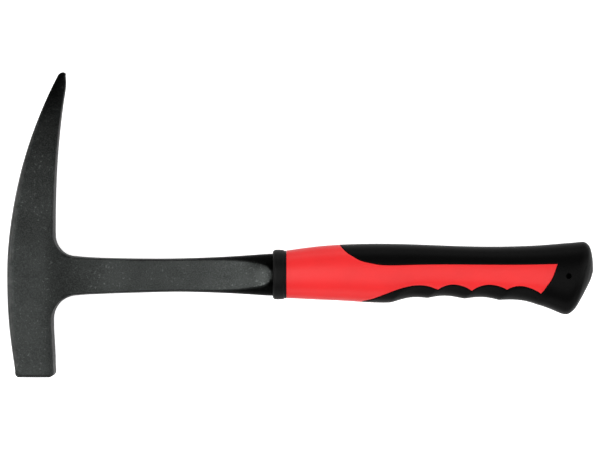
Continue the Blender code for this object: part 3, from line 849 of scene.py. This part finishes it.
def wear_group():
    """Rubbed edges: the piece's wear attribute broken up by noise."""
    tree, source, sink = group(
        "edge_wear",
        [("Spread", "NodeSocketFloat", 0.5)],
        [("Mask", "NodeSocketFloat")],
    )
    where = tree.nodes.new("ShaderNodeTexCoord").outputs["Object"]
    attribute = tree.nodes.new("ShaderNodeAttribute")
    attribute.attribute_name = "wear"
    broken = noise(tree, where, 260.0, 5.0, 0.65)
    raised = math_node(tree, "ADD", attribute.outputs["Fac"], math_node(tree, "SUBTRACT", broken, 0.5))
    excess = math_node(tree, "SUBTRACT", raised, source.outputs["Spread"])
    tree.links.new(math_node(tree, "MULTIPLY", excess, 2.2, clamp=True), sink.inputs["Mask"])
    return tree


def shader_of(name):
    """A new material with its tree and its Principled shader."""
    material = bpy.data.materials.new(name)
    material.use_nodes = True
    return material, material.node_tree, material.node_tree.nodes["Principled BSDF"]


def place_group(tree, shared, **values):
    """A shared group placed in a tree, with its inputs set."""
    node = tree.nodes.new("ShaderNodeGroup")
    node.node_tree = shared
    for label, value in values.items():
        node.inputs[label.replace("_", " ")].default_value = value
    return node


def bump(tree, shader, height, strength, distance):
    """A height that tilts the shader's normal."""
    node = tree.nodes.new("ShaderNodeBump")
    node.inputs["Strength"].default_value = strength
    node.inputs["Distance"].default_value = distance
    tree.links.new(height, node.inputs["Height"])
    tree.links.new(node.outputs["Normal"], shader.inputs["Normal"])


def shade(colour, factor):
    """A colour made darker or brighter."""
    return tuple(float(channel) * factor for channel in colour)


def painted_steel(colours):
    """Blackened, shot-blasted steel: speckled and blotchy, with painted light and shade by place, and rubbed
    on its edges.
    """
    material, tree, shader = shader_of("blackened_blasted_steel")
    black = tuple(colours.steel)
    grain = place_group(tree, bpy.data.node_groups["surface_grain"], Grain_Size=1500.0, Blotch_Size=60.0)
    wear = place_group(tree, bpy.data.node_groups["edge_wear"], Spread=0.62)
    speck = ramp(tree, grain.outputs["Grain"], 0.38, 0.66)
    base = mix_colour(tree, speck, shade(black, 0.55), shade(black, 1.3))
    blotch = ramp(tree, grain.outputs["Blotch"], 0.3, 0.7)
    blotched = mix_colour(tree, math_node(tree, "MULTIPLY", blotch, 0.4), base, shade(black, 1.3))
    flecks = math_node(tree, "MULTIPLY", grain.outputs["Pits"], blotch)
    flecked = mix_colour(tree, math_node(tree, "MULTIPLY", flecks, 0.7), blotched, shade(black, 3.2))
    # The finish attribute multiplies the colour: painted light and shade by place
    finish = tree.nodes.new("ShaderNodeAttribute")
    finish.attribute_name = "finish"
    painted_shading = tree.nodes.new("ShaderNodeMix")
    painted_shading.data_type = "RGBA"
    painted_shading.blend_type = "MULTIPLY"
    painted_shading.inputs["Factor"].default_value = 1.0
    tree.links.new(flecked, painted_shading.inputs["A"])
    tree.links.new(finish.outputs["Fac"], painted_shading.inputs["B"])
    bare = math_node(tree, "MULTIPLY", wear.outputs["Mask"], 0.35)
    worn = mix_colour(tree, bare, painted_shading.outputs["Result"], (0.1, 0.102, 0.1))
    tree.links.new(worn, shader.inputs["Base Color"])
    rough = math_node(tree, "MULTIPLY_ADD", grain.outputs["Grain"], 0.26, 0.2)
    tree.links.new(rough, shader.inputs["Roughness"])
    shader.inputs["Metallic"].default_value = 1.0
    shader.inputs["Specular Tint"].default_value = (0.6, 0.6, 0.6, 1.0)
    sunken = math_node(tree, "MULTIPLY", grain.outputs["Pits"], -0.4)
    height = math_node(tree, "ADD", grain.outputs["Grain"], sunken)
    bump(tree, shader, height, 0.5, 0.00022)
    return material


def moulded(name, colour, sizes, blotch_range, shades, rough_range, bump_height):
    """A moulded plastic: mottled colour, uneven gloss and a fine texture."""
    material, tree, shader = shader_of(name)
    grain = place_group(
        tree, bpy.data.node_groups["surface_grain"], Grain_Size=sizes[0], Blotch_Size=sizes[1]
    )
    blotch = ramp(tree, grain.outputs["Blotch"], *blotch_range)
    mottled = mix_colour(tree, blotch, shade(colour, shades[0]), shade(colour, shades[1]))
    tree.links.new(mottled, shader.inputs["Base Color"])
    rough = math_node(tree, "MULTIPLY_ADD", grain.outputs["Grain"], *rough_range)
    tree.links.new(rough, shader.inputs["Roughness"])
    bump(tree, shader, grain.outputs["Grain"], *bump_height)
    return material, shader


def hard_plastic(colours):
    """Satin red plastic: an even colour with faint mottling and a soft gloss."""
    material, shader = moulded(
        "satin_red_plastic",
        colours.red,
        (2200.0, 38.0),
        (0.25, 0.75),
        (0.93, 1.04),
        (0.16, 0.28),
        (0.18, 0.00006),
    )
    shader.inputs["IOR"].default_value = 1.5
    shader.inputs["Specular IOR Level"].default_value = 0.26
    return material


def soft_rubber(colours):
    """Matte black overmould: a fine pebbled texture and a dull gloss."""
    material, shader = moulded(
        "matte_black_overmould",
        colours.black,
        (1700.0, 90.0),
        (0.3, 0.8),
        (0.8, 1.35),
        (0.16, 0.3),
        (0.3, 0.00012),
    )
    shader.inputs["IOR"].default_value = 1.48
    shader.inputs["Specular IOR Level"].default_value = 0.07
    return material


def collar_rubber(colours):
    """The collar's harder black."""
    material, shader = moulded(
        "black_collar_plastic",
        colours.black,
        (1900.0, 120.0),
        (0.3, 0.8),
        (1.0, 1.5),
        (0.2, 0.4),
        (0.2, 0.0001),
    )
    shader.inputs["Specular IOR Level"].default_value = 0.13
    return material


# ------------------------------------------------------------------ studio


# Name, place, size across and up, and power of each softbox; all face the middle
SOFTBOXES = (
    ("left_top", (-0.4, 0, 1.3), (0.35, 0.3), 3.05),
    ("left_high", (-0.8, 0, 1.1), (0.5, 0.35), 3.24),
    ("left_low", (-1.2, 0, 0.35), (0.6, 0.5), 3.8),
    ("top", (0, 0, 1.3), (0.35, 0.3), 0.6),
    ("right_top", (0.4, 0, 1.3), (0.35, 0.3), 1.05),
    ("right_high", (0.8, 0, 1.1), (0.5, 0.35), 1.2),
    ("right_middle", (1.1, 0, 0.75), (0.6, 0.5), 2.2),
    ("right_low", (1.2, 0, 0.35), (0.6, 0.5), 1.7),
    ("near_strip", (0, -0.35, 1.3), (1.0, 0.3), 1.6),
    ("near_low", (0, -1.25, 0.5), (1.3, 0.6), 3.6),
    ("far_low", (0, 1.25, 0.5), (1.3, 0.6), 3.6),
)
SOFTBOXES += tuple(
    (f"corner_{depth}_{side}", (x, y, 0.5), (0.9, 0.7), 2.4)
    for depth, y in (("near", -1.0), ("far", 1.0))
    for side, x in (("left", -1.0), ("right", 1.0))
)
FLOOR_GLOW = 0.65
FILL_LIGHT, REFLECTED_FILL = 0.52, 0.16
CAMERA_NUDGE = (-0.00012, -0.00006)
SENSOR_WIDTH = 36.0


def soft_light(name, place_at, size, watts):
    """A rectangular softbox that faces the middle of the hammer and that the camera doesn't see."""
    light = bpy.data.lights.new(name, "AREA")
    light.shape = "RECTANGLE"
    light.size, light.size_y = size
    light.energy = watts
    lamp = bpy.data.objects.new(name, light)
    lamp.visible_camera = False
    bpy.context.scene.collection.objects.link(lamp)
    aim = np.zeros(3) - np.array(place_at, float)
    flat = math.hypot(aim[0], aim[1])
    lamp.location = place_at
    lamp.rotation_euler = (math.atan2(flat, -aim[2]), 0, math.atan2(aim[1], aim[0]) - math.pi / 2)


def build_floor():
    """A wide pale floor under the hammer. It glows for the camera, and is duller in reflections."""
    mesh = bpy.data.meshes.new("floor")
    reach = 6.0
    corners = [(-reach, -reach, 0), (reach, -reach, 0), (reach, reach, 0), (-reach, reach, 0)]
    mesh.from_pydata(corners, [], [(0, 1, 2, 3)])
    material, tree, shader = shader_of("pale_floor")
    where = tree.nodes.new("ShaderNodeTexCoord").outputs["Object"]
    cloud = ramp(tree, noise(tree, where, 3.0, 2.0), 0.2, 0.8)
    pale = mix_colour(tree, cloud, (0.88, 0.88, 0.88), (0.9, 0.9, 0.9))
    tree.links.new(pale, shader.inputs["Base Color"])
    shader.inputs["Roughness"].default_value = 0.9
    shader.inputs["Specular IOR Level"].default_value = 0.0
    shader.inputs["Emission Color"].default_value = (1, 1, 1, 1)
    rays = tree.nodes.new("ShaderNodeLightPath")
    glow = math_node(tree, "MULTIPLY_ADD", rays.outputs["Is Glossy Ray"], -FLOOR_GLOW, FLOOR_GLOW)
    tree.links.new(glow, shader.inputs["Emission Strength"])
    mesh.materials.append(material)
    floor = bpy.data.objects.new("floor", mesh)
    bpy.context.scene.collection.objects.link(floor)
    return floor


def build_world():
    """White where the camera sees it, with a dim even fill, dimmer still in reflections."""
    world = bpy.data.worlds.new("studio")
    world.use_nodes = True
    tree = world.node_tree
    rays = tree.nodes.new("ShaderNodeLightPath")
    surface = None
    for ray, strength in ((None, FILL_LIGHT), ("Is Glossy Ray", REFLECTED_FILL), ("Is Camera Ray", 1.0)):
        background = tree.nodes.new("ShaderNodeBackground")
        background.inputs["Color"].default_value = (1, 1, 1, 1)
        background.inputs["Strength"].default_value = strength
        if ray is None:
            surface = background.outputs["Background"]
            continue
        either = tree.nodes.new("ShaderNodeMixShader")
        tree.links.new(rays.outputs[ray], either.inputs["Fac"])
        tree.links.new(surface, either.inputs[1])
        tree.links.new(background.outputs["Background"], either.inputs[2])
        surface = either.outputs["Shader"]
    tree.links.new(surface, tree.nodes["World Output"].inputs["Surface"])
    return world


# ------------------------------------------------------------------ settings


class HammerColours(PropertyGroup):
    steel: FloatVectorProperty(
        name="Steel",
        description="Blackened finish of the forging",
        subtype="COLOR",
        size=3,
        min=0,
        max=1,
        default=(0.0252, 0.0272, 0.0262),
    )
    red: FloatVectorProperty(
        name="Red",
        description="Hard plastic of the barrel and panels",
        subtype="COLOR",
        size=3,
        min=0,
        max=1,
        default=(0.65, 0.0158, 0.0172),
    )
    black: FloatVectorProperty(
        name="Black",
        description="Soft overmould and collar",
        subtype="COLOR",
        size=3,
        min=0,
        max=1,
        default=(0.0005, 0.0005, 0.0005),
    )


class HammerStudio(PropertyGroup):
    camera_height: FloatProperty(
        name="Camera height",
        description="Distance from the camera to the middle of the hammer",
        default=2.0,
        min=0.4,
        max=4.0,
        unit="LENGTH",
    )
    framed_width: FloatProperty(
        name="Framed width",
        description="Width of the view at the middle of the hammer",
        default=0.33765,
        min=0.2,
        max=1.0,
        unit="LENGTH",
    )


class HAMMER_OT_forging(Operator):
    """Builds the one-piece head, shank and tang"""

    bl_idname = "hammer.forging"
    bl_label = "Forging"

    def execute(self, context):
        piece = build_forging(painted_steel(context.scene.hammer_colours))
        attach(piece, "root")
        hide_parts("head_and_shank_forging")
        return {"FINISHED"}


class HAMMER_OT_collar(Operator):
    """Builds the collar in front of the grip"""

    bl_idname = "hammer.collar"
    bl_label = "Collar"

    def execute(self, context):
        piece = build_collar(collar_rubber(context.scene.hammer_colours))
        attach(piece, "root")
        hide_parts("front_collar")
        return {"FINISHED"}


class HAMMER_OT_grip(Operator):
    """Builds the red core and the black overmould of the grip"""

    bl_idname = "hammer.grip"
    bl_label = "Grip"

    def execute(self, context):
        core = build_grip_core(hard_plastic(context.scene.hammer_colours))
        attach(core, "root")
        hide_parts("grip_core")
        skin = build_overmould(soft_rubber(context.scene.hammer_colours))
        drill(core, 0.9)
        drill(skin)
        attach(skin, "root")
        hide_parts("grip_overmould")
        return {"FINISHED"}


class HAMMER_OT_stage(Operator):
    """Builds the floor, the lights and the camera"""

    bl_idname = "hammer.stage"
    bl_label = "Stage"

    def execute(self, context):
        scene = context.scene
        studio = scene.hammer_studio
        scene.view_settings.view_transform = "Standard"
        floor = build_floor()
        floor.visible_diffuse = False
        scene.world = build_world()
        for name, place_at, size, watts in SOFTBOXES:
            soft_light(name, place_at, size, watts)
        middle = float(place((0, 0, 0))[2])
        camera = bpy.data.cameras.new("camera")
        camera.sensor_width = SENSOR_WIDTH
        camera.lens = SENSOR_WIDTH * studio.camera_height / studio.framed_width
        camera.clip_end = 20
        holder = bpy.data.objects.new("camera", camera)
        holder.location = (*CAMERA_NUDGE, middle + studio.camera_height)
        scene.collection.objects.link(holder)
        scene.camera = holder
        return {"FINISHED"}


class HAMMER_PT_sidebar(Panel):
    bl_idname = "HAMMER_PT_sidebar"
    bl_label = "Rock Hammer"
    bl_space_type = "VIEW_3D"
    bl_region_type = "UI"
    bl_category = "Hammer"

    def draw(self, context):
        column = self.layout.column()
        for operator in OPERATORS:
            column.operator(operator.bl_idname)
        for settings in (context.scene.hammer_colours, context.scene.hammer_studio):
            for name in settings.bl_rna.properties.keys():
                if name not in {"rna_type", "name"}:
                    column.prop(settings, name)


OPERATORS = (HAMMER_OT_forging, HAMMER_OT_collar, HAMMER_OT_grip, HAMMER_OT_stage)
CLASSES = (HammerColours, HammerStudio, *OPERATORS, HAMMER_PT_sidebar)


def register():
    for cls in CLASSES:
        bpy.utils.register_class(cls)
    bpy.types.Scene.hammer_colours = PointerProperty(type=HammerColours)
    bpy.types.Scene.hammer_studio = PointerProperty(type=HammerStudio)


def unregister():
    del bpy.types.Scene.hammer_studio
    del bpy.types.Scene.hammer_colours
    for cls in reversed(CLASSES):
        bpy.utils.unregister_class(cls)


def main():
    """Registers the add-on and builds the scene."""
    register()
    grain_group()
    wear_group()
    bpy.ops.hammer.forging()
    bpy.ops.hammer.collar()
    bpy.ops.hammer.grip()
    bpy.ops.hammer.stage()


if __name__ == "__main__":
    main()
